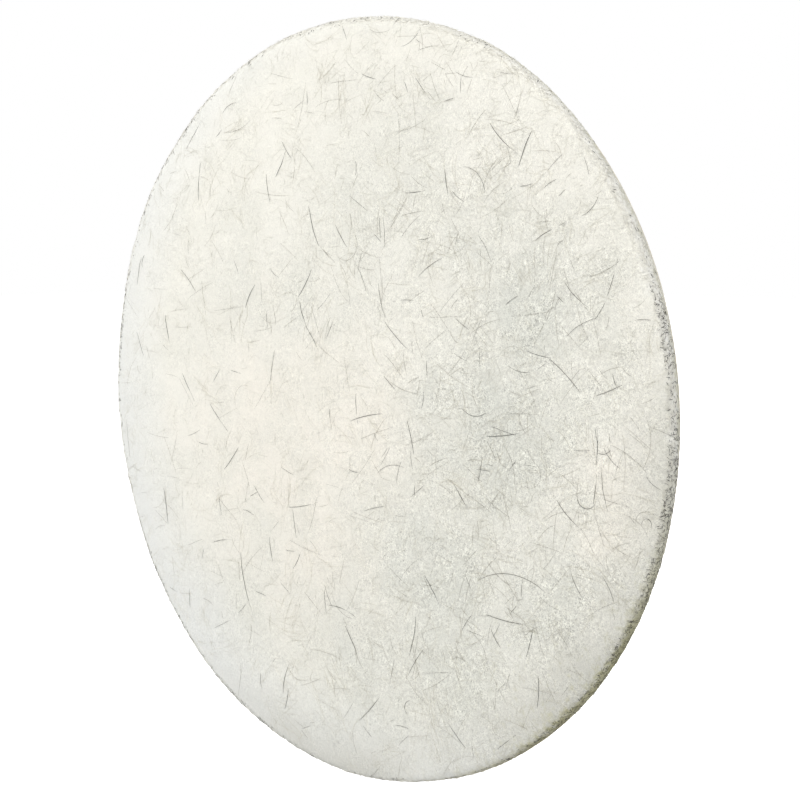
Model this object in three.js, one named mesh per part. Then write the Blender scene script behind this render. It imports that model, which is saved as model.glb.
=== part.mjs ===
// A felt polishing wheel for lapidary work: a thin round disc of pressed wool felt that is backed
// with double-sided tape under a slit paper liner. Millimetres, +Z up. The wheel spins about Y and
// its polishing face looks along -Y. The origin is the middle of the wheel.
//
// From the front to the back the pieces are the felt, the tape's felt-side adhesive, its carrier
// film, its plate-side adhesive, and the two halves of the release liner. They are die-cut
// together, so they share one outline, and each layer starts on the plane where the last one ends.

import * as THREE from 'three';

// Driving dimensions.
const WHEEL_DIAMETER = 152.4;       // 6 inches
const FELT_THICKNESS = 3.175;       // an eighth of an inch
const ADHESIVE_THICKNESS = 0.1;     // each of the tape's two coats
const FILM_THICKNESS = 0.05;
const LINER_THICKNESS = 0.15;       // silicone-coated paper
const LINER_SLIT = 0.3;             // the cut across the liner's middle
const EDGE_ROLL_WIDTH = 2.4;        // how far in from the rim the felt's face starts to roll over
const EDGE_ROLL_DEPTH = 1.5;        // how far down the side wall the roll reaches
const EDGE_ROLL_STEPS = 6;
const ROUND_SEGMENTS = 96;          // sides of every round outline

const WHEEL_RADIUS = WHEEL_DIAMETER / 2;
const LAYERS = [
  ['felt', FELT_THICKNESS],
  ['feltSideAdhesive', ADHESIVE_THICKNESS],
  ['film', FILM_THICKNESS],
  ['plateSideAdhesive', ADHESIVE_THICKNESS],
  ['liner', LINER_THICKNESS],
];

// The front and back planes of each layer, stacked along Y about the wheel's middle.
function stackLayers(layers) {
  const total = layers.reduce((sum, [, thickness]) => sum + thickness, 0);
  const planes = {};
  let level = -total / 2;
  for (const [layer, thickness] of layers) {
    planes[layer] = { front: level, back: level + thickness };
    level += thickness;
  }
  return planes;
}

function material(color, roughness) {
  return new THREE.MeshStandardMaterial({ color, roughness, metalness: 0 });
}

// The felt is turned about Y. Its profile runs from the axis out across the face, round the soft
// front edge, down the side wall and back to the axis.
function makeFelt(planes, finish) {
  const rollStart = WHEEL_RADIUS - EDGE_ROLL_WIDTH;
  const profile = [new THREE.Vector2(0, planes.front)];
  for (let step = 0; step <= EDGE_ROLL_STEPS; step += 1) {
    const turn = (step / EDGE_ROLL_STEPS) * (Math.PI / 2);
    const radius = rollStart + EDGE_ROLL_WIDTH * Math.sin(turn);
    const depth = EDGE_ROLL_DEPTH * (1 - Math.cos(turn));
    profile.push(new THREE.Vector2(radius, planes.front + depth));
  }
  profile.push(new THREE.Vector2(WHEEL_RADIUS, planes.back));
  profile.push(new THREE.Vector2(0, planes.back));
  const felt = new THREE.Mesh(new THREE.LatheGeometry(profile, ROUND_SEGMENTS), finish);
  felt.name = 'felt_disc';
  return felt;
}

// A flat round layer of the tape.
function makeRoundLayer(name, planes, finish) {
  const profile = [
    new THREE.Vector2(0, planes.front),
    new THREE.Vector2(WHEEL_RADIUS, planes.front),
    new THREE.Vector2(WHEEL_RADIUS, planes.back),
    new THREE.Vector2(0, planes.back),
  ];
  const layer = new THREE.Mesh(new THREE.LatheGeometry(profile, ROUND_SEGMENTS), finish);
  layer.name = name;
  return layer;
}

// Half of the liner: a half-disc whose straight edge is one side of the slit. side is 1 on +X.
function makeLinerHalf(name, side, planes, finish) {
  const slitEdge = LINER_SLIT / 2;
  const slitAngle = Math.acos(slitEdge / WHEEL_RADIUS);
  const outline = new THREE.Shape();
  outline.absarc(0, 0, WHEEL_RADIUS, -slitAngle, slitAngle, false);
  outline.closePath();
  const sheet = new THREE.ExtrudeGeometry(outline, {
    depth: planes.back - planes.front,
    bevelEnabled: false,
    curveSegments: ROUND_SEGMENTS / 2,
  });
  const half = new THREE.Mesh(sheet, finish);
  half.name = name;
  half.rotation.x = -Math.PI / 2;
  half.position.y = planes.front;
  if (side < 0) {
    half.rotation.z = Math.PI;
  }
  return half;
}

const planes = stackLayers(LAYERS);
const wool = material(0xece9df, 0.95);
const feltGlue = material(0xe3e1d4, 0.4);
const polyester = material(0xecefee, 0.2);
const plateGlue = material(0xd3c9af, 0.2);
const linerPaper = material(0xeae5d8, 0.6);

const group = new THREE.Group();
group.add(makeFelt(planes.felt, wool));
group.add(makeRoundLayer('felt_side_adhesive', planes.feltSideAdhesive, feltGlue));
group.add(makeRoundLayer('carrier_film', planes.film, polyester));
group.add(makeRoundLayer('plate_side_adhesive', planes.plateSideAdhesive, plateGlue));
group.add(makeLinerHalf('release_liner_left', -1, planes.liner, linerPaper));
group.add(makeLinerHalf('release_liner_right', 1, planes.liner, linerPaper));

export default group;
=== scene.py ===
"""Looks for the felt polishing wheel: hairy pressed felt on a taped back with a slit paper liner.

Everything is in metres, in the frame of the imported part: the wheel stands on its edge, its spin
axis is Y, its polishing face looks along -Y and the liner covers its +Y back.
"""

import math

import bpy
import numpy as np
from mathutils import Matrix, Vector


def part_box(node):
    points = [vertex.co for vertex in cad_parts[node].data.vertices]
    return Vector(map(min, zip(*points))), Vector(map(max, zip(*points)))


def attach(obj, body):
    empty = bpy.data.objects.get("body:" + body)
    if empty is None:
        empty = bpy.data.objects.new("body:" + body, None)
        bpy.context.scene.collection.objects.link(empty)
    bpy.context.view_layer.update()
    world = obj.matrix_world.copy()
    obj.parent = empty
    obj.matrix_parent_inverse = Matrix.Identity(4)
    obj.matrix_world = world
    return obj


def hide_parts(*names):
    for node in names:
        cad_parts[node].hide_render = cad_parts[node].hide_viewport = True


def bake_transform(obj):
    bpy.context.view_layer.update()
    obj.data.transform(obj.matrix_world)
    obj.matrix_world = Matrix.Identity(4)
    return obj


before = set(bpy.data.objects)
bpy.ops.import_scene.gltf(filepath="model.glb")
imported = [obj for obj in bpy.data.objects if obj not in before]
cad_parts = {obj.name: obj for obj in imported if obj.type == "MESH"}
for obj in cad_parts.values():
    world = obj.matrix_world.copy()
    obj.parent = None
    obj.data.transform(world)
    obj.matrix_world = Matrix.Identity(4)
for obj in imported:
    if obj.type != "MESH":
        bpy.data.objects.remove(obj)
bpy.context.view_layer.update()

MM = 0.001
RANDOM = np.random.default_rng(20)
RIGHT_ANGLE = math.pi / 2
FULL_TURN = 2 * math.pi

# The felt's place and size, from the frame.
FELT_LOW, FELT_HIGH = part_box("felt_disc")
RADIUS = (FELT_HIGH[0] - FELT_LOW[0]) / 2
FRONT = FELT_LOW[1]
BACK = FELT_HIGH[1]
THICKNESS = BACK - FRONT

# The felt's mesh.
FACE_RINGS = 128                     # rings across the face, so the rim has 8 times as many corners
ROLL_ROWS = 9
WALL_ROWS = 8
BACK_STEP = 0.7                      # each ring of the back is this share of the last one's size
BACK_CORNERS = 8                     # the innermost of those rings has this many corners

# The felt's soft shape.
RIM_BULGE = 0.05 * MM                # the cut edge springs out past the tape
TAPE_COVER = 0.03 * MM               # at the back the felt reaches at least this far past the tape
DROOP_WIDTH = 8 * MM                 # the face falls away gently inside the rolled edge
DROOP_DEPTH = 0.35 * MM

# How the outline is out of round: the number of lobes, their phase and their height.
LOBES = [(4, 2.65, 0.24 * MM), (5, 1.1, 0.12 * MM)]
FLAT_SPOT = math.radians(-70)        # where the outline is a little flat
FLAT_SPOT_SPREAD = math.radians(8)
FLAT_SPOT_DEPTH = 0.5 * MM

# How the front edge is rolled round the rim: a direction from +X towards +Z and how far it spreads,
# in degrees, and the roll's width and depth in mm. The die cuts it crisp and handling softens it.
ROLLS = [
    (6, 20, 1.7, 2.1), (-36, 20, 2.2, 2.5), (-80, 22, 1.3, 1.5), (-140, 40, 2.2, 2.0),
    (180, 45, 3.1, 2.7), (110, 45, 2.1, 1.9), (48, 30, 2.3, 2.4),
]

# The heights of the skin's relief.
BUCKLE_HEIGHT = 0.11 * MM
LUMP_HEIGHT = 0.045 * MM
EDGE_LUMP_HEIGHT = 0.02 * MM         # the pressed and cut edge is smoother
TUFT_HEIGHT = 0.028 * MM
RIM_WOBBLE_HEIGHT = 0.04 * MM


# ---------------------------------------------------------------------------------------------
# The felt's surface
# ---------------------------------------------------------------------------------------------

class Relief:
    """Smooth random height over a plane, from -1 to 1 or so: a sum of waves of about one length."""

    def __init__(self, wavelength, waves=26, spread=0.4):
        direction = RANDOM.uniform(0, FULL_TURN, waves)
        length = wavelength * RANDOM.uniform(1 - spread, 1 + spread, waves)
        self.along_a = FULL_TURN / length * np.cos(direction)
        self.along_b = FULL_TURN / length * np.sin(direction)
        self.phase = RANDOM.uniform(0, FULL_TURN, waves)

    def at(self, a, b):
        total = np.zeros(np.shape(a))
        for along_a, along_b, phase in zip(self.along_a, self.along_b, self.phase):
            total = total + np.cos(along_a * a + along_b * b + phase)
        return total / math.sqrt(len(self.phase))


BUCKLES = Relief(48 * MM)
LUMPS = Relief(9 * MM)
TUFTS = Relief(2.7 * MM)
RIM_WOBBLE = Relief(16 * MM)


def outline(angle):
    """The felt's radius at each angle. A die-cut felt disc is a little out of round."""
    lobes = sum(height * np.cos(count * angle + phase) for count, phase, height in LOBES)
    flat_spot = FLAT_SPOT_DEPTH * np.exp(-(((angle - FLAT_SPOT) / FLAT_SPOT_SPREAD) ** 2))
    ragged = RIM_WOBBLE_HEIGHT * RIM_WOBBLE.at(RADIUS * np.cos(angle), RADIUS * np.sin(angle))
    return RADIUS + RIM_BULGE + lobes - flat_spot + ragged


def roll_size(angle):
    """The width and depth of the rolled front edge at each angle."""
    total, width, depth = 0, 0, 0
    for side, spread, side_width, side_depth in ROLLS:
        off = (angle - math.radians(side) + math.pi) % FULL_TURN - math.pi
        share = np.exp(-((off / math.radians(spread)) ** 2))
        total = total + share
        width = width + share * side_width
        depth = depth + share * side_depth
    return width / total * MM, depth / total * MM


def roll_length(width, depth):
    """The length of the rolled edge's quarter ellipse, nearly."""
    return RIGHT_ANGLE * np.sqrt((width ** 2 + depth ** 2) / 2)


def skin_relief(a, b, turn):
    """How far the skin's buckles, lumps and tufts stand out. turn is the angle round the edge."""
    lump_height = LUMP_HEIGHT + (EDGE_LUMP_HEIGHT - LUMP_HEIGHT) * np.sin(turn)
    buckles = BUCKLE_HEIGHT * BUCKLES.at(a, b)
    return buckles + lump_height * LUMPS.at(a, b) + TUFT_HEIGHT * TUFTS.at(a, b)


def felt_surface(a, b, lift=0.0):
    """Points on the felt's skin, lifted off it by lift, and the way out of the skin at each.

    (a, b) is a place on the skin laid out flat, with the axis at its middle. It runs across the
    face, over the rolled edge and down the side wall.
    """
    out = np.hypot(a, b)
    angle = np.arctan2(b, a)
    width, depth = roll_size(angle)
    roll = roll_length(width, depth)
    start = outline(angle) - width
    past = np.maximum(out - start, 0)
    turn = np.minimum(past / roll, 1) * RIGHT_ANGLE
    down_wall = np.maximum(past - roll, 0)
    radius = np.minimum(out, start) + width * np.sin(turn)
    droop = np.clip(1 - (start - out) / DROOP_WIDTH, 0, 1) ** 2 * DROOP_DEPTH
    droop = droop * np.cos(turn)
    level = FRONT + depth * (1 - np.cos(turn)) + down_wall + droop
    outward = depth * np.sin(turn)
    forward = width * np.cos(turn)
    size = np.hypot(outward, forward)
    outward, forward = outward / size, forward / size
    raised = lift + skin_relief(a, b, turn)
    flare = np.maximum(RADIUS + TAPE_COVER - outline(angle), 0)
    radius = radius + outward * raised + flare * np.clip((level - FRONT) / THICKNESS, 0, 1)
    level = np.minimum(level - forward * raised, BACK)
    points = np.stack([radius * np.cos(angle), level, radius * np.sin(angle)], axis=-1)
    normals = np.stack([outward * np.cos(angle), -forward, outward * np.sin(angle)], axis=-1)
    return points, normals


# ---------------------------------------------------------------------------------------------
# Mesh building
# ---------------------------------------------------------------------------------------------

def new_piece(name, points, faces, smooth=True):
    """A mesh object in the scene. faces may have three or more corners each."""
    mesh = bpy.data.meshes.new(name)
    mesh.from_pydata([tuple(p) for p in points], [], [tuple(f) for f in faces])
    mesh.update()
    mesh.polygons.foreach_set("use_smooth", [smooth] * len(mesh.polygons))
    piece = bpy.data.objects.new(name, mesh)
    bpy.context.scene.collection.objects.link(piece)
    return piece


def band(first, second):
    """Quads between two closed rings of the same number of corners."""
    count = len(first)
    return [
        (first[i], second[i], second[(i + 1) % count], first[(i + 1) % count])
        for i in range(count)
    ]


def narrowing_band(outer, inner):
    """Faces between a closed ring and one inside it with half as many corners."""
    faces = []
    for i in range(len(inner)):
        middle, last = outer[2 * i + 1], outer[(2 * i + 2) % len(outer)]
        following = inner[(i + 1) % len(inner)]
        faces.append((outer[2 * i], inner[i], middle))
        faces.append((middle, inner[i], following, last))
    return faces


def disc_grid(rings):
    """A square grid bent into a unit disc: its points as (radius, angle), quads and rim corners."""
    side = 2 * rings + 1
    i, j = np.meshgrid(np.arange(-rings, rings + 1), np.arange(-rings, rings + 1), indexing="ij")
    wide = np.abs(i) >= np.abs(j)
    along = np.where(wide, i, j)
    across = np.where(wide, j, i)
    share = across / np.where(along == 0, 1, along) * math.pi / 4
    angle = np.where(wide, share, RIGHT_ANGLE - share)
    radius = along / rings
    corner = np.arange(side * side).reshape(side, side)
    quads = np.stack(
        [corner[:-1, :-1], corner[1:, :-1], corner[1:, 1:], corner[:-1, 1:]], axis=-1
    )
    rim = np.concatenate(
        [corner[-1, :-1], corner[:0:-1, -1], corner[0, :0:-1], corner[:-1, 0]]
    )
    return radius.ravel(), angle.ravel(), quads.reshape(-1, 4), rim


def felt_body():
    """The felt: a dense face, the rolled edge, the side wall and a plain bonded back."""
    share, angle, quads, rim = disc_grid(FACE_RINGS)
    a, b = share * np.cos(angle), share * np.sin(angle)
    angle = np.arctan2(b, a)
    rim_angle = angle[rim]
    start = outline(angle) - roll_size(angle)[0]
    points = [felt_surface(a * start, b * start)[0]]
    faces = [tuple(q) for q in quads]
    width, depth = roll_size(rim_angle)
    roll = roll_length(width, depth)
    rim_start = outline(rim_angle) - width
    reaches = [rim_start + roll * row / ROLL_ROWS for row in range(1, ROLL_ROWS + 1)]
    wall = THICKNESS - depth
    reaches += [rim_start + roll + wall * row / WALL_ROWS for row in range(1, WALL_ROWS + 1)]
    made = len(points[0])
    ring = list(rim)
    for reach in reaches:
        points.append(felt_surface(reach * np.cos(rim_angle), reach * np.sin(rim_angle))[0])
        following = list(range(made, made + len(ring)))
        faces += band(ring, following)
        ring = following
        made += len(ring)
    count = len(ring)
    edge = points[-1]
    while count > BACK_CORNERS:
        count //= 2
        edge = edge[::2] * np.array([BACK_STEP, 1, BACK_STEP])
        points.append(edge)
        following = list(range(made, made + count))
        faces += narrowing_band(ring, following)
        ring = following
        made += count
    faces.append(tuple(reversed(ring)))
    return new_piece("felt_body", np.concatenate(points), faces)


# ---------------------------------------------------------------------------------------------
# Hairs and fibres
# ---------------------------------------------------------------------------------------------

STRAND_SIDES = 3
WEAVE_HEIGHT = 0.06 * MM             # how far a hair rises and dives along its length
THINNING_WIDTH = 80 * MM             # across which the hairs thin out towards -X
LOCK_SPREAD = 1.1 * MM               # how far apart the fibres of one lock lie
FUZZ_LIFT = 0.02 * MM                # how far off the skin the middle of a wool fibre lies


def strand_piece(name, lines, normals, widths, tones):
    """Many thin three-sided strands as one mesh.

    lines and normals are (strands, points, 3), widths is each point's radius and tones is one
    number for each strand, kept in the mesh for its material.
    """
    strands, steps, _ = lines.shape
    along = np.gradient(lines, axis=1)
    along /= np.linalg.norm(along, axis=2, keepdims=True)
    side = np.cross(along, normals)
    side /= np.maximum(np.linalg.norm(side, axis=2, keepdims=True), 1e-9)
    up = np.cross(side, along)
    turns = np.arange(STRAND_SIDES) * FULL_TURN / STRAND_SIDES
    rings = [
        lines + widths[..., None] * (math.cos(turn) * side + math.sin(turn) * up)
        for turn in turns
    ]
    points = np.stack(rings, axis=2).reshape(-1, 3)
    corner = np.arange(strands * steps * STRAND_SIDES).reshape(strands, steps, STRAND_SIDES)
    near, far = corner[:, :-1], corner[:, 1:]
    quads = np.stack(
        [near, far, np.roll(far, -1, axis=2), np.roll(near, -1, axis=2)], axis=-1
    ).reshape(-1, 4)
    caps = np.concatenate([corner[:, 0], corner[:, -1, ::-1]])
    piece = new_piece(name, points, quads.tolist() + caps.tolist())
    tone = piece.data.attributes.new("tone", "FLOAT", "POINT")
    tone.data.foreach_set("value", np.repeat(tones, steps * STRAND_SIDES).astype(np.float32))
    return piece


def wandering_lines(starts, headings, lengths, bends, steps):
    """Curved lines in the flat layout of the skin: (a, b), each (strands, steps)."""
    share = np.linspace(-0.5, 0.5, steps)
    heading = headings[:, None] + bends[:, None] * share
    stride = lengths[:, None] / (steps - 1)
    a = np.cumsum(stride * np.cos(heading), axis=1)
    b = np.cumsum(stride * np.sin(heading), axis=1)
    middle = steps // 2
    a += (starts[:, 0] - a[:, middle])[:, None]
    b += (starts[:, 1] - b[:, middle])[:, None]
    return a, b


def spread_over_face(count, reach, left_share=1.0):
    """Random places over a disc of the given radius. On its -X side only left_share are kept."""
    tries = 4 * count
    radius = reach * np.sqrt(RANDOM.uniform(0, 1, tries))
    angle = RANDOM.uniform(0, FULL_TURN, tries)
    spots = np.stack([radius * np.cos(angle), radius * np.sin(angle)], axis=1)
    towards_right = np.clip(0.5 + spots[:, 0] / THINNING_WIDTH, 0, 1)
    wanted = left_share + (1 - left_share) * towards_right
    return spots[RANDOM.uniform(0, 1, tries) < wanted][:count]


def taper(steps, tip=0.35):
    """The width of a hair along its length, as a share of its widest."""
    return tip + (1 - tip) * np.sin(np.linspace(0, math.pi, steps)) ** 0.5


def strands_on_felt(name, a, b, lift, radius):
    """Strands along lines in the laid-out skin, lifted off it. radius is a range in mm."""
    count, steps = a.shape
    lines, normals = felt_surface(a, b, lift)
    widths = RANDOM.uniform(*radius, (count, 1)) * MM * taper(steps)
    return strand_piece(name, lines, normals, widths, RANDOM.uniform(0, 1, count))


def kemp_strands(name, starts, headings, lengths, bends, radius, depth, steps=14):
    """Hairs felted into the skin, each of which dives under it here and there."""
    count = len(starts)
    a, b = wandering_lines(starts, headings, lengths, bends, steps)
    weave = np.sin(np.linspace(0, math.pi, steps) * RANDOM.uniform(0.8, 2.2, (count, 1)))
    lift = RANDOM.uniform(*depth, (count, 1)) * MM + WEAVE_HEIGHT * weave
    return strands_on_felt(name, a, b, lift, radius)


def kemp_hairs(name, count, length, radius, left_share):
    """Kemp hairs spread over the face: most nearly straight, some hooked."""
    starts = spread_over_face(count, RADIUS - 2.0 * MM, left_share)
    lengths = RANDOM.uniform(0, 1, count) ** 1.4 * (length[1] - length[0]) + length[0]
    bends = RANDOM.normal(0, 0.45, count)
    bends = np.where(RANDOM.uniform(0, 1, count) < 0.14, bends * 4, bends)
    headings = RANDOM.uniform(0, FULL_TURN, count)
    return kemp_strands(name, starts, headings, lengths * MM, bends, radius, (-0.02, 0.05))


def pale_hairs(name, count, length, radius):
    """Long beige hairs, hardly darker than the wool, in loose locks that share a curve."""
    siblings = 4
    starts, headings = locks(count, RADIUS + 1.0 * MM, siblings, left_share=0.35)
    lengths = RANDOM.uniform(*length, count) * MM
    bends = np.repeat(RANDOM.normal(0, 0.7, -(-count // siblings)), siblings)[:count]
    bends = bends + RANDOM.normal(0, 0.25, count)
    return kemp_strands(name, starts, headings, lengths, bends, radius, (-0.01, 0.05), steps=9)


# The boldest dark hairs: the middle's x and z and the length in mm, the heading and bend in
# degrees.
LONG_HAIRS = [
    (39, 51, 9, -42, 25), (44, 50, 7, 66, -10), (50, 35, 7.5, 26, -14), (-13, 24, 7.5, 55, 20),
    (-11, 35, 8.5, -72, 18), (12, 14, 8, -40, 12), (16, -6, 7.5, -76, -10), (4, -2, 9, 14, -16),
    (40, -3, 9.5, 9, 12), (45, 9, 9, 2, 70), (61, -3, 7, 88, 16), (55, -17, 8.5, -40, 22),
    (42, -29, 17, 2, -62), (17, -44, 9, 78, 24), (-3, -42, 8, -8, -30), (5, -61, 8.5, 46, 10),
    (-32, -42, 15, -74, 26), (-58, -27, 8, -80, -18), (48, -50, 6.5, 86, 30), (-57, 12, 7, -78, 8),
    (-30, 21, 6, 58, -24), (-24, 42, 7.5, -78, 16), (1, -1, 6, -86, 8), (6, 64, 6.5, -14, 22),
    (58.6, -14.8, 6, -14, 160), (60.6, -10.9, 5.5, 84, 8), (40, -38, 9, -4, 10),
    (46, -41, 6, 75, 15),
    (22, -35, 7, -55, -12), (54, 9, 9, -38, -20), (64, 7, 7, 22, 10), (64, 27, 7, 72, 12),
    (56, 23, 7, -40, 30), (25, 43, 6, -80, 10), (17, 42, 5, 4, 8), (-46, 45, 8, 85, -14),
    (-20, 48, 6, 60, 20), (-18, 50, 6, -50, 10), (-49, 23, 8, -45, -20), (-36, -14, 7, 48, 10),
    (-40, -6, 8, -45, 10), (-50, 0, 7, -55, 12), (-24, -34, 8, -78, 14), (-14, -22, 9, 12, 12),
    (-20, -59, 7, 75, -20), (0, -49, 8, -60, -14), (32, 0, 6.5, -8, 75), (29, -16, 6, -52, -14),
    (-14, 17, 6, -70, 16), (-3, 33, 6, -55, 8),
]


def long_hairs():
    hairs = np.array(LONG_HAIRS, dtype=float)
    return kemp_strands(
        "kemp_hairs_long",
        hairs[:, :2] * MM,
        np.radians(hairs[:, 3]),
        hairs[:, 2] * MM,
        np.radians(hairs[:, 4]),
        radius=(0.042, 0.055),
        depth=(0.01, 0.05),
    )


# Where cut dark hairs crowd round the rim: the direction and spread in degrees.
CUT_HAIR_CROWDS = [
    (-38, 20), (-38, 20), (-30, 26), (-45, 12), (13, 4), (-8, 5), (-20, 12), (-150, 7),
    (-118, 12), (172, 9), (132, 12),
]
CROWDED_SHARE = 0.8                  # the rest lie anywhere round the rim


def places_on_edge(angle, share):
    """Places on the laid-out skin: share is 0 where the edge starts to roll and 1 at the back."""
    width, depth = roll_size(angle)
    skin = roll_length(width, depth) + THICKNESS - depth
    reach = outline(angle) - width + skin * share
    return np.stack([reach * np.cos(angle), reach * np.sin(angle)], axis=1)


def cut_ends(name, count):
    """Dark hairs sliced through by the die, so only their ends show in the rolled edge and wall.

    On the +X side they lie further down the wall.
    """
    crowds = np.radians(CUT_HAIR_CROWDS)[RANDOM.integers(0, len(CUT_HAIR_CROWDS), count)]
    gathered = RANDOM.normal(crowds[:, 0], crowds[:, 1])
    spread = RANDOM.uniform(0, FULL_TURN, count)
    angle = np.where(RANDOM.uniform(0, 1, count) < CROWDED_SHARE, gathered, spread)
    right = np.cos(angle) > 0.2
    share = RANDOM.uniform(np.where(right, 0.4, 0.15), np.where(right, 1, 0.7))
    return kemp_strands(
        name,
        places_on_edge(angle, share),
        RANDOM.uniform(0, FULL_TURN, count),
        RANDOM.uniform(0.3, 1.1, count) * MM,
        RANDOM.normal(0, 0.4, count),
        radius=(0.025, 0.055),
        depth=(-0.01, 0.05),
        steps=4,
    )


def locks(count, reach, siblings, left_share=1.0):
    """Places and headings in small groups that share a direction, as wool fibres lie."""
    groups = -(-count // siblings)
    middles = spread_over_face(groups, reach, left_share)
    middles = np.repeat(middles, siblings, axis=0)[:count]
    headings = np.repeat(RANDOM.uniform(0, FULL_TURN, groups), siblings)[:count]
    return (
        middles + RANDOM.normal(0, LOCK_SPREAD, (count, 2)),
        headings + RANDOM.normal(0, 0.35, count),
    )


def wool_fuzz(name, count, reach, length, radius, rise, siblings, steps=5):
    """Fine wool fibres that lie on the skin and stand a little off it at one end."""
    starts, headings = locks(count, reach, siblings, left_share=0.4)
    lengths = RANDOM.uniform(*length, count) * MM
    a, b = wandering_lines(starts, headings, lengths, RANDOM.normal(0, 1.0, count), steps)
    ends = np.linspace(-1, 1, steps) * RANDOM.choice([-1, 1], (count, 1))
    lift = RANDOM.uniform(*rise, (count, 1)) * MM * ends + FUZZ_LIFT
    return strands_on_felt(name, a, b, lift, radius)


def rim_fuzz(name, count, length, radius, steps=5):
    """Loose fibre ends that fray out of the rolled edge and the cut side wall."""
    angle = RANDOM.uniform(0, FULL_TURN, count)
    starts = places_on_edge(angle, RANDOM.uniform(0.3, 0.98, count))
    lengths = RANDOM.uniform(*length, count) * MM
    headings = angle + RIGHT_ANGLE + RANDOM.normal(0, 0.8, count)
    a, b = wandering_lines(starts, headings, lengths, RANDOM.normal(0, 1.6, count), steps)
    rise = RANDOM.uniform(0.0, 0.6, (count, 1)) ** 2 * MM
    lift = rise * np.linspace(-0.3, 1, steps) + FUZZ_LIFT
    return strands_on_felt(name, a, b, lift, radius)


# ---------------------------------------------------------------------------------------------
# The liner
# ---------------------------------------------------------------------------------------------

LINER_COLUMNS = 60
LINER_ROWS = 72
LINER_CURL_WIDTH = 9 * MM            # the slit's edges lift a little
LINER_CURL = 0.22 * MM
LINER_WAVE_HEIGHT = 0.05 * MM
LINER_FLAT_RIM = 4 * MM              # the waves die out across this width at the rim
LINER_WAVES = Relief(34 * MM)


def liner_sheet(name, node, side):
    """One half of the liner: a thin closed sheet from the slit to the rim. side is 1 on +X.

    Its first material is the paper and its second the coating on the side that faces the wheel.
    """
    low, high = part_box(node)
    slit = low[0] if side > 0 else -high[0]
    share = np.sin(np.linspace(0, RIGHT_ANGLE, LINER_COLUMNS + 1))[:-1]
    out = slit + (RADIUS - slit) * share
    half_height = np.sqrt(RADIUS ** 2 - out ** 2)
    rows = np.linspace(-1, 1, LINER_ROWS + 1)
    x = np.repeat(out[:, None], len(rows), axis=1)
    z = half_height[:, None] * rows
    curl = LINER_CURL * np.clip(1 - (x - slit) / LINER_CURL_WIDTH, 0, 1) ** 2
    waves = np.maximum(LINER_WAVE_HEIGHT * (1 + LINER_WAVES.at(side * x, z) / 2), 0)
    lift = curl + waves * np.clip((RADIUS - np.hypot(x, z)) / LINER_FLAT_RIM, 0, 1)
    front = np.stack([side * x, low[1] + lift, z], axis=-1).reshape(-1, 3)
    front = np.vstack([front, [side * RADIUS, low[1], 0]])
    back = front + np.array([0, high[1] - low[1], 0])
    corner = np.arange(len(front) - 1).reshape(x.shape)
    tip = len(front) - 1
    faces = np.stack(
        [corner[:-1, :-1], corner[1:, :-1], corner[1:, 1:], corner[:-1, 1:]], axis=-1
    ).reshape(-1, 4).tolist()
    faces += [(corner[-1, k], tip, corner[-1, k + 1]) for k in range(LINER_ROWS)]
    coated = len(faces)
    behind = [tuple(c + len(front) for c in reversed(face)) for face in faces]
    border = list(corner[:, 0]) + [tip] + list(corner[::-1, -1]) + list(corner[0, -2:0:-1])
    walls = band(border, [c + len(front) for c in border])
    faces = [tuple(face) for face in faces] + behind + walls
    if side < 0:
        faces = [tuple(reversed(face)) for face in faces]
    piece = new_piece(name, np.vstack([front, back]), faces)
    piece.data.polygons.foreach_set("material_index", [1] * coated + [0] * (len(faces) - coated))
    return piece


# ---------------------------------------------------------------------------------------------
# Materials
# ---------------------------------------------------------------------------------------------

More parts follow.
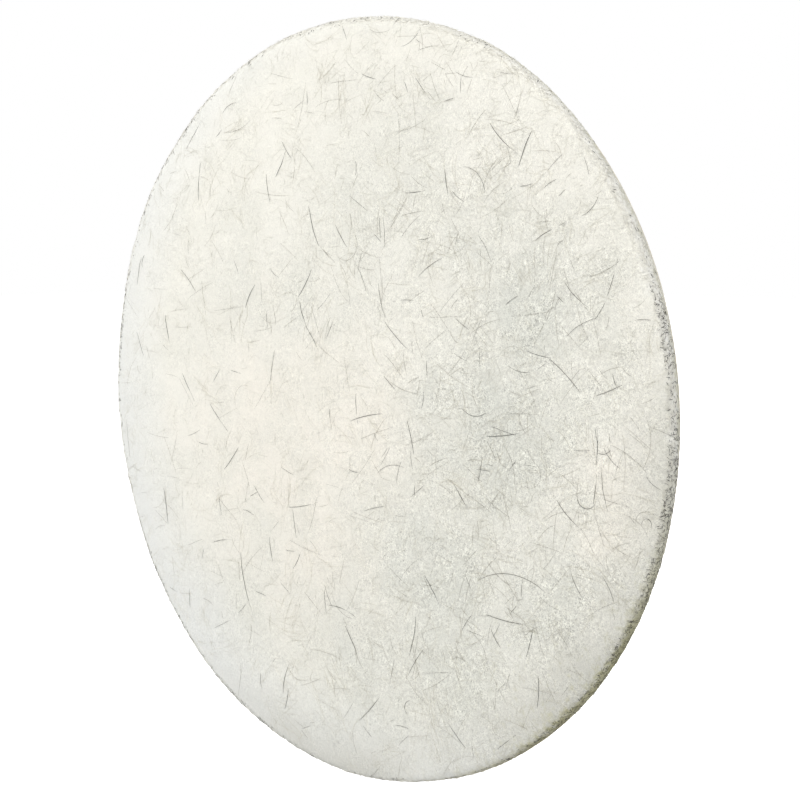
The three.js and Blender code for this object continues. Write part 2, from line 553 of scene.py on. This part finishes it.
class Nodes:
    """A small helper that writes one material's node tree."""

    def __init__(self, name):
        self.material = bpy.data.materials.new(name)
        self.material.use_nodes = True
        self.tree = self.material.node_tree
        self.shader = self.tree.nodes["Principled BSDF"]
        place = self.tree.nodes.new("ShaderNodeTexCoord")
        self.place = place.outputs["Object"]

    def node(self, kind, **settings):
        made = self.tree.nodes.new(kind)
        for key, value in settings.items():
            setattr(made, key, value)
        return made

    def link(self, source, target):
        self.tree.links.new(source, target)

    def stretch(self, scale, turn=0.0):
        """Object coordinates turned about the wheel's axis, then stretched along each axis."""
        mapping = self.node("ShaderNodeMapping", vector_type="TEXTURE")
        mapping.inputs["Rotation"].default_value = (0, turn, 0)
        mapping.inputs["Scale"].default_value = scale
        self.link(self.place, mapping.inputs["Vector"])
        return mapping.outputs["Vector"]

    def noise(self, size, detail=2.0, roughness=0.5, distortion=0.0, source=None):
        """Noise whose lumps are about size metres across."""
        made = self.node("ShaderNodeTexNoise")
        made.inputs["Scale"].default_value = 1 / size
        made.inputs["Detail"].default_value = detail
        made.inputs["Roughness"].default_value = roughness
        made.inputs["Distortion"].default_value = distortion
        self.link(source or self.place, made.inputs["Vector"])
        return made.outputs["Fac"]

    def remap(self, value, low, high, to_low=0.0, to_high=1.0):
        """A value carried from one range to another and held at that range's ends."""
        made = self.node("ShaderNodeMapRange")
        for name, number in (
            ("From Min", low), ("From Max", high), ("To Min", to_low), ("To Max", to_high)
        ):
            made.inputs[name].default_value = number
        self.link(value, made.inputs["Value"])
        return made.outputs["Result"]

    def math(self, operation, first, second):
        """Arithmetic on two numbers, each a constant or a socket."""
        made = self.node("ShaderNodeMath", operation=operation)
        for socket, value in zip(made.inputs, (first, second)):
            if isinstance(value, (int, float)):
                socket.default_value = value
            else:
                self.link(value, socket)
        return made.outputs["Value"]

    def mix(self, share, first, second):
        """Two colours mixed. Each may be a colour or a socket."""
        made = self.node("ShaderNodeMix", data_type="RGBA")
        for socket, value in (
            (made.inputs["Factor"], share), (made.inputs["A"], first), (made.inputs["B"], second)
        ):
            self.fill(socket, value)
        return made.outputs["Result"]

    def fill(self, socket, value):
        """A socket linked to a value that varies, or set to one that doesn't."""
        if isinstance(value, bpy.types.NodeSocket):
            self.link(value, socket)
        elif isinstance(value, tuple):
            socket.default_value = (*value, 1)
        else:
            socket.default_value = value

    def bump(self, height, strength, distance):
        made = self.node("ShaderNodeBump")
        made.inputs["Strength"].default_value = strength
        made.inputs["Distance"].default_value = distance
        self.link(height, made.inputs["Height"])
        return made.outputs["Normal"]

    def finish(self, colour, roughness, normal=None, **constants):
        """The finished material. constants are the shader's inputs with _ for each space."""
        self.fill(self.shader.inputs["Base Color"], colour)
        self.fill(self.shader.inputs["Roughness"], roughness)
        if normal is not None:
            self.link(normal, self.shader.inputs["Normal"])
        for name, value in constants.items():
            self.shader.inputs[name.replace("_", " ")].default_value = value
        return self.material


def fibre_web(nodes, size, layers, thinness):
    """Crossing curved fibres, from 0 between them to 1 on them. size is a fibre's length."""
    web = None
    for layer in range(layers):
        turn = layer * math.pi / layers + 0.3
        turned = nodes.stretch((size, size, size / thinness), turn)
        streaks = nodes.noise(1.0, detail=1.5, distortion=0.6, source=turned)
        streaks = nodes.remap(streaks, 0.54, 0.68)
        web = streaks if web is None else nodes.math("MAXIMUM", web, streaks)
    return web


def fibre_grain(nodes, size, layers, thinness):
    """Light and dark streaks in every direction, about 0 on average and 1 at their strongest."""
    total = None
    for layer in range(layers):
        turned = nodes.stretch((size, size, size / thinness), layer * math.pi / layers + 0.2)
        streaks = nodes.noise(1.0, detail=2, roughness=0.6, distortion=0.5, source=turned)
        total = streaks if total is None else nodes.math("ADD", total, streaks)
    return nodes.remap(total, layers * 0.5 - 0.5, layers * 0.5 + 0.5, -1, 1)


def blob(nodes, x, z, reach, source):
    """1 at a place on the face given in mm, falling softly to 0 at reach from it."""
    away = nodes.node("ShaderNodeVectorMath", operation="DISTANCE")
    nodes.link(source, away.inputs[0])
    away.inputs[1].default_value = (x * MM, 0, z * MM)
    return nodes.remap(away.outputs["Value"], 0, reach * MM, 1, 0)


def blobs(nodes, patches, source):
    """The strongest of several soft patches."""
    total = None
    for x, z, reach, strength in patches:
        patch = nodes.math("MULTIPLY", blob(nodes, x, z, reach, source), strength)
        total = patch if total is None else nodes.math("MAXIMUM", total, patch)
    return total


def stirred(nodes, size, reach, source):
    """Coordinates pushed about by noise, so that what is placed by them has ragged edges."""
    stir = nodes.node("ShaderNodeTexNoise")
    stir.inputs["Scale"].default_value = 1 / size
    stir.inputs["Detail"].default_value = 4
    nodes.link(source, stir.inputs["Vector"])
    shift = nodes.node("ShaderNodeVectorMath", operation="MULTIPLY_ADD")
    nodes.link(stir.outputs["Color"], shift.inputs[0])
    shift.inputs[1].default_value = (2 * reach, 0, 2 * reach)
    nodes.link(source, shift.inputs[2])
    moved = nodes.node("ShaderNodeVectorMath", operation="SUBTRACT")
    nodes.link(shift.outputs["Vector"], moved.inputs[0])
    moved.inputs[1].default_value = (reach, 0, reach)
    return moved.outputs["Vector"]


# The wool's colours.
CREAM = (0.93, 0.907, 0.822)
WARM = (0.94, 0.897, 0.80)
COOL = (0.74, 0.74, 0.67)
CLOUDED = (0.775, 0.765, 0.68)
PALE = (0.975, 0.95, 0.865)
MATTED = (0.745, 0.725, 0.64)
BORDER = (0.83, 0.843, 0.822)
# painted shade for the face's lower right and bottom, where it droops to the rim
LOWER_RIM_SHADE = (0.63, 0.62, 0.555)
CUT_WALL = (0.97, 0.96, 0.91)
# the wall's wear colour, also used as painted shade along the wall's back edge
WEAR_AND_SHADE = (0.52, 0.50, 0.32)

# Soft patches of colour on the face: the x, z and reach in mm, and the strength.
WARM_PATCHES = [(-18, -10, 42, 1.3), (4, -6, 26, 1.2), (64, -14, 16, 1), (-8, -32, 26, 1.2)]
COOL_PATCHES = [
    (38, -4, 30, 1.2), (22, -32, 28, 1.2), (46, 20, 22, 1.1), (52, -36, 22, 1.1),
    (4, 38, 26, 0.55), (34, 33, 18, 0.7), (-34, 22, 22, 0.45), (-14, 22, 18, 0.5),
    (4, -56, 30, 0.9), (28, -50, 30, 1.1), (18, 44, 24, 0.55), (-38, -48, 26, 0.55),
]
PALE_PATCHES = [(38, 56, 20, 0.6), (62, -34, 14, 0.5)]
# painted shade along the rim, at the lower right and bottom of the face
LOWER_RIM_SHADE_PATCHES = [(57, -52, 54, 1.3), (-8, -78, 44, 1.2), (80, -12, 36, 0.9)]

# The x, z and reach in mm of a patch that covers the face, of the one that the border lies
# round, of the loosest wool and of the wall that handling has darkened.
WHOLE_FACE = (0, 0, 100)
INSIDE_BORDER = (10, 6, 100)
LOOSE_WOOL = (60, 0, 90)
WORN_WALL = (56.5, -50.9, 54)


def wool_felt():
    """Off-white wool: soft patches, fine fibres, a pale border with painted shade at its lower
    right and bottom, and a side wall darkened by wear, with painted shade along its back edge.
    """
    nodes = Nodes("wool_felt")
    level, flat, wall = places(nodes)
    moved = stirred(nodes, 12 * MM, 16 * MM, flat)
    cool_share = blobs(nodes, COOL_PATCHES, moved)
    clouds = nodes.noise(12 * MM, detail=3, roughness=0.55)
    mats = nodes.noise(4.5 * MM, detail=3, roughness=0.6, distortion=0.8)
    fibres = wool_fibres(nodes)

    colour = patchy_wool(nodes, moved, cool_share, clouds, mats)
    colour = bordered(nodes, colour, moved, flat)
    loose = looseness(nodes, flat, wall, cool_share, clouds, mats)
    colour = toned(nodes, colour, nodes.math("MULTIPLY", fibres, loose))
    colour = nodes.mix(nodes.math("MULTIPLY", wall, 0.8), colour, CUT_WALL)
    # wear on the lower-right wall, and painted shade along the back edge
    colour = nodes.mix(wear_and_edge_shade(nodes, flat, level), colour, WEAR_AND_SHADE)
    return nodes.finish(
        colour,
        0.95,
        nodes.bump(fibres, 0.35, 0.10 * MM),
        Sheen_Weight=0.25,
        Sheen_Roughness=0.6,
        Specular_IOR_Level=0.15,
    )


def patchy_wool(nodes, moved, cool_share, clouds, mats):
    """The face's colour: cream with warm, cool and pale patches, thin clouds and darker mats."""
    colour = nodes.mix(blobs(nodes, WARM_PATCHES, moved), CREAM, WARM)
    colour = nodes.mix(cool_share, colour, COOL)
    colour = nodes.mix(nodes.remap(clouds, 0.36, 0.60, 0.36, 0), colour, CLOUDED)
    colour = nodes.mix(blobs(nodes, PALE_PATCHES, moved), colour, PALE)
    return nodes.mix(nodes.remap(mats, 0.35, 0.62, 0.09, 0), colour, MATTED)


def bordered(nodes, colour, moved, flat):
    """The colour with a pale border round the face, and painted shade where the face droops to the
    rim at the lower right and bottom.
    """
    inside = blob(nodes, *INSIDE_BORDER, stirred(nodes, 20 * MM, 4 * MM, flat))
    colour = nodes.mix(nodes.remap(inside, 0.34, 0.17, 0, 0.7), colour, BORDER)
    rim = nodes.remap(blob(nodes, *WHOLE_FACE, flat), 0.38, 0.25, 0, 0.8)
    # painted shade near the rim, at the lower right and bottom
    lower_rim_shade = nodes.math("MULTIPLY", blobs(nodes, LOWER_RIM_SHADE_PATCHES, moved), rim)
    return nodes.mix(lower_rim_shade, colour, LOWER_RIM_SHADE)


def wool_fibres(nodes):
    """A fine grain that runs every way, with single crossing fibres over it."""
    grain = nodes.math("MULTIPLY", fibre_grain(nodes, 0.75 * MM, layers=5, thinness=5), 1.9)
    web = fibre_web(nodes, 1.4 * MM, layers=6, thinness=7)
    return nodes.math("ADD", nodes.remap(web, 0, 1, -0.4, 0.6), grain)


def looseness(nodes, flat, wall, cool_share, clouds, mats):
    """How strongly the fibres show: most in the cool patches and round the loosest wool."""
    rough_share = nodes.math("ADD", cool_share, nodes.remap(clouds, 0.4, 0.6, 0.3, 0))
    loosest = nodes.math("MULTIPLY", blob(nodes, *LOOSE_WOOL, flat), 1.3)
    loose = nodes.remap(nodes.math("ADD", rough_share, loosest), 0, 2.0, 0.035, 0.17)
    loose = nodes.math("MULTIPLY", loose, nodes.remap(mats, 0.35, 0.65, 1.5, 0.5))
    return nodes.math("ADD", loose, nodes.math("MULTIPLY", wall, 0.05))


def places(nodes):
    """The level along Y made ragged by noise, the place on the face, and 1 on the side wall."""
    axes = nodes.node("ShaderNodeSeparateXYZ")
    nodes.link(nodes.place, axes.inputs["Vector"])
    flat = nodes.node("ShaderNodeVectorMath", operation="MULTIPLY")
    flat.inputs[1].default_value = (1, 0, 1)
    nodes.link(nodes.place, flat.inputs[0])
    ragged = nodes.noise(1.6 * MM, detail=4, roughness=0.7)
    ragged = nodes.remap(ragged, 0.3, 0.7, -0.8 * MM, 0.8 * MM)
    level = nodes.math("ADD", axes.outputs["Y"], ragged)
    wall = nodes.remap(level, FRONT + 0.7 * MM, FRONT + 1.9 * MM)
    return level, flat.outputs["Vector"], wall


def wear_and_edge_shade(nodes, flat, level):
    """How darkened: by wear most on the wall at its place of wear, and by painted shade a little
    along the back edge.
    """
    side = nodes.math("MULTIPLY", blob(nodes, *WORN_WALL, flat), 1.4)
    side = nodes.math("MULTIPLY", side, nodes.remap(level, FRONT + 0.4 * MM, FRONT + 1.7 * MM))
    # painted shade: the wall darkens toward its back edge, where it meets the tape
    back_edge = nodes.remap(level, BACK - 1.0 * MM, BACK + 0.2 * MM, 0, 0.45)
    return nodes.math("MAXIMUM", side, back_edge)


def toned(nodes, colour, change):
    """A colour made lighter or darker by a share of itself."""
    lit = nodes.node("ShaderNodeVectorMath", operation="SCALE")
    nodes.link(colour, lit.inputs[0])
    nodes.link(nodes.math("ADD", change, 1.0), lit.inputs["Scale"])
    return lit.outputs["Vector"]


def strand_material(name, dark, light, roughness, wear_and_shade=False):
    """Strands whose colour runs from dark to light by each one's tone."""
    nodes = Nodes(name)
    tone = nodes.node("ShaderNodeAttribute", attribute_name="tone").outputs["Fac"]
    scales = nodes.noise(0.5 * MM, detail=2)
    tone = nodes.math("ADD", tone, nodes.remap(scales, 0.3, 0.7, -0.12, 0.12))
    colour = nodes.mix(tone, dark, light)
    # the strands can take the wall's wear and its painted back-edge shade
    if wear_and_shade:
        level, flat, _ = places(nodes)
        colour = nodes.mix(wear_and_edge_shade(nodes, flat, level), colour, WEAR_AND_SHADE)
    rough = nodes.remap(scales, 0.3, 0.7, roughness - 0.08, roughness + 0.08)
    return nodes.finish(colour, rough, Specular_IOR_Level=0.25)


def adhesive(name, colour, deep, roughness):
    """Tacky acrylic: faintly cloudy, with coating lines, an orange-peel skin and a few bubbles."""
    nodes = Nodes(name)
    cloud = nodes.noise(10 * MM, detail=4, roughness=0.6)
    tint = nodes.mix(nodes.remap(cloud, 0.35, 0.65), deep, colour)
    lines = nodes.noise(2.5 * MM, detail=3, source=nodes.stretch((1, 1, 14)))
    tint = nodes.mix(nodes.remap(lines, 0.42, 0.66, 0, 0.35), tint, (0.90, 0.88, 0.80))
    bubbles = nodes.node("ShaderNodeTexVoronoi", feature="DISTANCE_TO_EDGE")
    bubbles.inputs["Scale"].default_value = 1 / (7 * MM)
    nodes.link(stirred(nodes, 5 * MM, 2 * MM, nodes.place), bubbles.inputs["Vector"])
    rims = nodes.remap(bubbles.outputs["Distance"], 0.0, 0.05, 0.30, 0)
    tint = nodes.mix(rims, tint, (0.93, 0.92, 0.86))
    peel = nodes.noise(0.9 * MM, detail=3)
    height = nodes.math("ADD", peel, nodes.math("MULTIPLY", lines, 0.6))
    normal = nodes.bump(height, 0.35, 0.06 * MM)
    rough = nodes.remap(peel, 0.3, 0.7, roughness - 0.06, roughness + 0.1)
    return nodes.finish(tint, rough, normal, Coat_Weight=0.4, Coat_Roughness=0.12)


def polyester_film():
    """Clear film over pale adhesive, faintly streaked as it was drawn."""
    nodes = Nodes("carrier_film")
    streaks = nodes.noise(4 * MM, detail=2, source=nodes.stretch((1, 1, 9)))
    tint = nodes.mix(nodes.remap(streaks, 0.35, 0.65), (0.80, 0.83, 0.83), (0.88, 0.90, 0.89))
    rough = nodes.remap(streaks, 0.3, 0.7, 0.12, 0.22)
    return nodes.finish(tint, rough)


def liner_paper():
    """Bleached kraft paper: cloudy pulp, short darker fibres and a fine felt mark."""
    nodes = Nodes("liner_paper")
    cloud = nodes.noise(7 * MM, detail=4, roughness=0.65)
    colour = nodes.mix(nodes.remap(cloud, 0.36, 0.64), (0.78, 0.735, 0.625), (0.875, 0.84, 0.745))
    pulp = fibre_web(nodes, 2.6 * MM, layers=5, thinness=11)
    colour = nodes.mix(nodes.math("MULTIPLY", pulp, 0.55), colour, (0.64, 0.57, 0.44))
    shives = nodes.remap(nodes.noise(0.9 * MM, detail=2), 0.66, 0.70, 0, 0.6)
    colour = nodes.mix(shives, colour, (0.50, 0.43, 0.32))
    grain = nodes.noise(0.45 * MM, detail=3, roughness=0.65)
    colour = toned(nodes, colour, nodes.remap(grain, 0.3, 0.7, -0.07, 0.07))
    normal = nodes.bump(nodes.math("ADD", pulp, grain), 0.30, 0.06 * MM)
    rough = nodes.remap(grain, 0.3, 0.7, 0.58, 0.72)
    return nodes.finish(colour, rough, normal)


def liner_coating():
    """The liner's silicone-coated side, paler and glossier than its paper side."""
    nodes = Nodes("liner_coating")
    cloud = nodes.noise(7 * MM, detail=4, roughness=0.65)
    colour = nodes.mix(nodes.remap(cloud, 0.36, 0.64), (0.80, 0.755, 0.655), (0.87, 0.835, 0.75))
    streaks = nodes.noise(2 * MM, detail=2, source=nodes.stretch((1, 1, 12)))
    colour = nodes.mix(nodes.remap(streaks, 0.45, 0.65, 0, 0.25), colour, (0.93, 0.91, 0.85))
    normal = nodes.bump(streaks, 0.15, 0.05 * MM)
    rough = nodes.remap(cloud, 0.3, 0.7, 0.20, 0.30)
    return nodes.finish(colour, rough, normal, Coat_Weight=0.5, Coat_Roughness=0.12)


def floor_paper():
    """Pale studio paper, bright enough to merge with the white surroundings."""
    nodes = Nodes("floor_paper")
    mottle = nodes.noise(0.2, detail=2)
    colour = nodes.mix(nodes.remap(mottle, 0.3, 0.7), (0.93, 0.93, 0.93), (0.95, 0.95, 0.95))
    return nodes.finish(
        colour, 0.9, Emission_Color=(1, 1, 1, 1), Emission_Strength=1.0, Specular_IOR_Level=0.1
    )


def dress(piece, material):
    """The piece with that material alone."""
    piece.data.materials.clear()
    piece.data.materials.append(material)
    return piece


# ---------------------------------------------------------------------------------------------
# Stage, light and camera
# ---------------------------------------------------------------------------------------------

CAMERA_AZIMUTH = math.radians(43.0)   # round from the front, towards +X
CAMERA_ELEVATION = math.radians(5.7)
CAMERA_DISTANCE = 378.6 * MM
CAMERA_LENS = 85.0
CAMERA_AIM = (8.23 * MM, 0.72 * MM)    # right and up of the wheel's middle
FLOOR_HALF = 3.0
FLOOR_DROP = 60 * MM                  # the floor lies this far below the wheel
WORLD_LIGHT = 0.342
WORLD_TINT = (0.96, 0.98, 1.0)        # slightly cool

# The name, azimuth and elevation in degrees, distance, size, brightness and colour.
LIGHTS = [
    ("key", 33, 38, 2.5, 1.1, 0.527, (1.0, 0.995, 0.985)),
    ("upper_left", -42, 40, 0.45, 0.25, 0.405, (1.0, 0.99, 0.975)),
    ("bounce", 10, -60, 1.5, 1.0, 0.33, (1.0, 1.0, 1.0)),
    ("left", -100, 20, 1.5, 1.0, 0.15, (1.0, 1.0, 1.0)),
    ("right", 95, 12, 1.5, 0.9, 0.17, (1.0, 1.0, 1.0)),
    ("behind", 185, 10, 1.6, 0.9, 0.60, (1.0, 0.99, 0.98)),
]


def turned_out(azimuth, elevation):
    """The way from the wheel to a viewer at that azimuth and elevation."""
    return Vector((
        math.sin(azimuth) * math.cos(elevation),
        -math.cos(azimuth) * math.cos(elevation),
        math.sin(elevation),
    ))


def make_camera():
    """The camera, to the wheel's front and right and a little above it."""
    back = turned_out(CAMERA_AZIMUTH, CAMERA_ELEVATION)
    right = Vector((0, 0, 1)).cross(back).normalized()
    up = back.cross(right)
    camera = bpy.data.objects.new("camera", bpy.data.cameras.new("camera"))
    bpy.context.scene.collection.objects.link(camera)
    camera.data.lens = CAMERA_LENS
    camera.data.clip_start = 10 * MM
    camera.data.clip_end = 50
    aim = right * CAMERA_AIM[0] + up * CAMERA_AIM[1]
    camera.location = aim + back * CAMERA_DISTANCE
    camera.rotation_mode = "QUATERNION"
    camera.rotation_quaternion = back.to_track_quat("Z", "Y")
    bpy.context.scene.camera = camera


def area_light(name, azimuth, elevation, distance, size, brightness, colour):
    """A round soft light. White paper square on to it at the wheel would be as bright as asked."""
    toward = turned_out(math.radians(azimuth), math.radians(elevation))
    light = bpy.data.objects.new(name, bpy.data.lights.new(name, "AREA"))
    bpy.context.scene.collection.objects.link(light)
    light.data.shape = "DISK"
    light.data.size = size
    light.data.energy = brightness * (math.pi * distance) ** 2
    light.data.color = colour
    light.location = toward * distance
    light.rotation_mode = "QUATERNION"
    light.rotation_quaternion = toward.to_track_quat("Z", "Y")


def make_world():
    """White to look at, and a dimmer light on the object."""
    world = bpy.data.worlds.new("studio")
    bpy.context.scene.world = world
    world.use_nodes = True
    tree = world.node_tree
    tree.nodes.clear()
    seen = tree.nodes.new("ShaderNodeBackground")
    seen.inputs["Color"].default_value = (1, 1, 1, 1)
    seen.inputs["Strength"].default_value = 1.0
    lighting = tree.nodes.new("ShaderNodeBackground")
    lighting.inputs["Color"].default_value = (*WORLD_TINT, 1)
    lighting.inputs["Strength"].default_value = WORLD_LIGHT
    path = tree.nodes.new("ShaderNodeLightPath")
    either = tree.nodes.new("ShaderNodeMixShader")
    output = tree.nodes.new("ShaderNodeOutputWorld")
    tree.links.new(path.outputs["Is Camera Ray"], either.inputs["Fac"])
    tree.links.new(lighting.outputs["Background"], either.inputs[1])
    tree.links.new(seen.outputs["Background"], either.inputs[2])
    tree.links.new(either.outputs["Shader"], output.inputs["Surface"])


def make_stage():
    """A plain pale floor. It neither lights the wheel nor shades it from the light below."""
    level = -RADIUS - FLOOR_DROP
    corners = [
        (-FLOOR_HALF, -FLOOR_HALF, level), (FLOOR_HALF, -FLOOR_HALF, level),
        (FLOOR_HALF, FLOOR_HALF, level), (-FLOOR_HALF, FLOOR_HALF, level),
    ]
    floor = new_piece("floor", corners, [(0, 1, 2, 3)], smooth=False)
    floor.visible_diffuse = False
    floor.visible_shadow = False
    dress(floor, floor_paper())


# ---------------------------------------------------------------------------------------------
# The build
# ---------------------------------------------------------------------------------------------

def felt_strands():
    """Every hair and fibre of the felt. Lengths and radii are ranges in mm."""
    wool = strand_material("wool_fibre", (0.66, 0.64, 0.56), (1.0, 0.985, 0.93), 0.7)
    # the frayed fibres take the wall's wear and its painted back-edge shade
    frayed = strand_material("frayed_wool", (0.80, 0.78, 0.71), (1.0, 0.985, 0.93), 0.7, wear_and_shade=True)
    kemp = strand_material("kemp_hair", (0.022, 0.020, 0.018), (0.10, 0.088, 0.07), 0.55)
    fine = strand_material("fine_hair", (0.12, 0.105, 0.08), (0.40, 0.36, 0.28), 0.6)
    pale = strand_material("pale_hair", (0.62, 0.59, 0.50), (0.82, 0.79, 0.70), 0.65)
    reach = RADIUS + 1.0 * MM
    wool_radius = (0.014, 0.026)
    return [
        dress(long_hairs(), kemp),
        dress(
            kemp_hairs("kemp_hairs", 120, (3.0, 8.5), radius=(0.025, 0.040), left_share=0.6), kemp
        ),
        dress(
            kemp_hairs("fine_hairs", 620, (2.5, 11.0), radius=(0.014, 0.023), left_share=0.35), fine
        ),
        dress(pale_hairs("pale_hairs", 1000, (3.5, 10.0), radius=(0.014, 0.025)), pale),
        dress(cut_ends("cut_hair_ends", 2200), kemp),
        dress(
            wool_fuzz("wool_fuzz_long", 6500, reach, (2.0, 6.0), wool_radius, (0, 0.10), 5), wool
        ),
        dress(
            wool_fuzz("wool_fuzz_short", 6500, reach, (0.8, 2.4), wool_radius, (0, 0.16), 3), wool
        ),
        dress(rim_fuzz("rim_fuzz", 7500, (0.8, 3.0), radius=(0.016, 0.036)), frayed),
    ]


def build_felt():
    """The felt and its hairs, which stand for the felt's CAD solid."""
    felt = dress(felt_body(), wool_felt())
    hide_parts("felt_disc")
    strands = felt_strands()
    for piece in [felt, *strands]:
        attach(piece, "wheel")


def build_tape():
    """The tape's layers keep their CAD shape, with materials of their own."""
    finishes = {
        "felt_side_adhesive": adhesive(
            "felt_side_adhesive", (0.80, 0.78, 0.70), (0.74, 0.71, 0.62), 0.4
        ),
        "carrier_film": polyester_film(),
        "plate_side_adhesive": adhesive(
            "plate_side_adhesive", (0.70, 0.64, 0.48), (0.60, 0.54, 0.385), 0.16
        ),
    }
    for node, material in finishes.items():
        dress(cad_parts[node], material)


def build_liner():
    """The liner's halves, each a thin sheet from the slit to the rim, in place of their CAD parts.
    """
    paper = liner_paper()
    coating = liner_coating()
    for name, node, side in (
        ("liner_sheet_left", "release_liner_left", -1),
        ("liner_sheet_right", "release_liner_right", 1),
    ):
        sheet = dress(liner_sheet(name, node, side), paper)
        sheet.data.materials.append(coating)
        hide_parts(node)
        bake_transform(sheet)


build_felt()
build_tape()
build_liner()
make_stage()
make_world()
for light in LIGHTS:
    area_light(*light)
make_camera()
bpy.context.scene.view_settings.view_transform = "Standard"
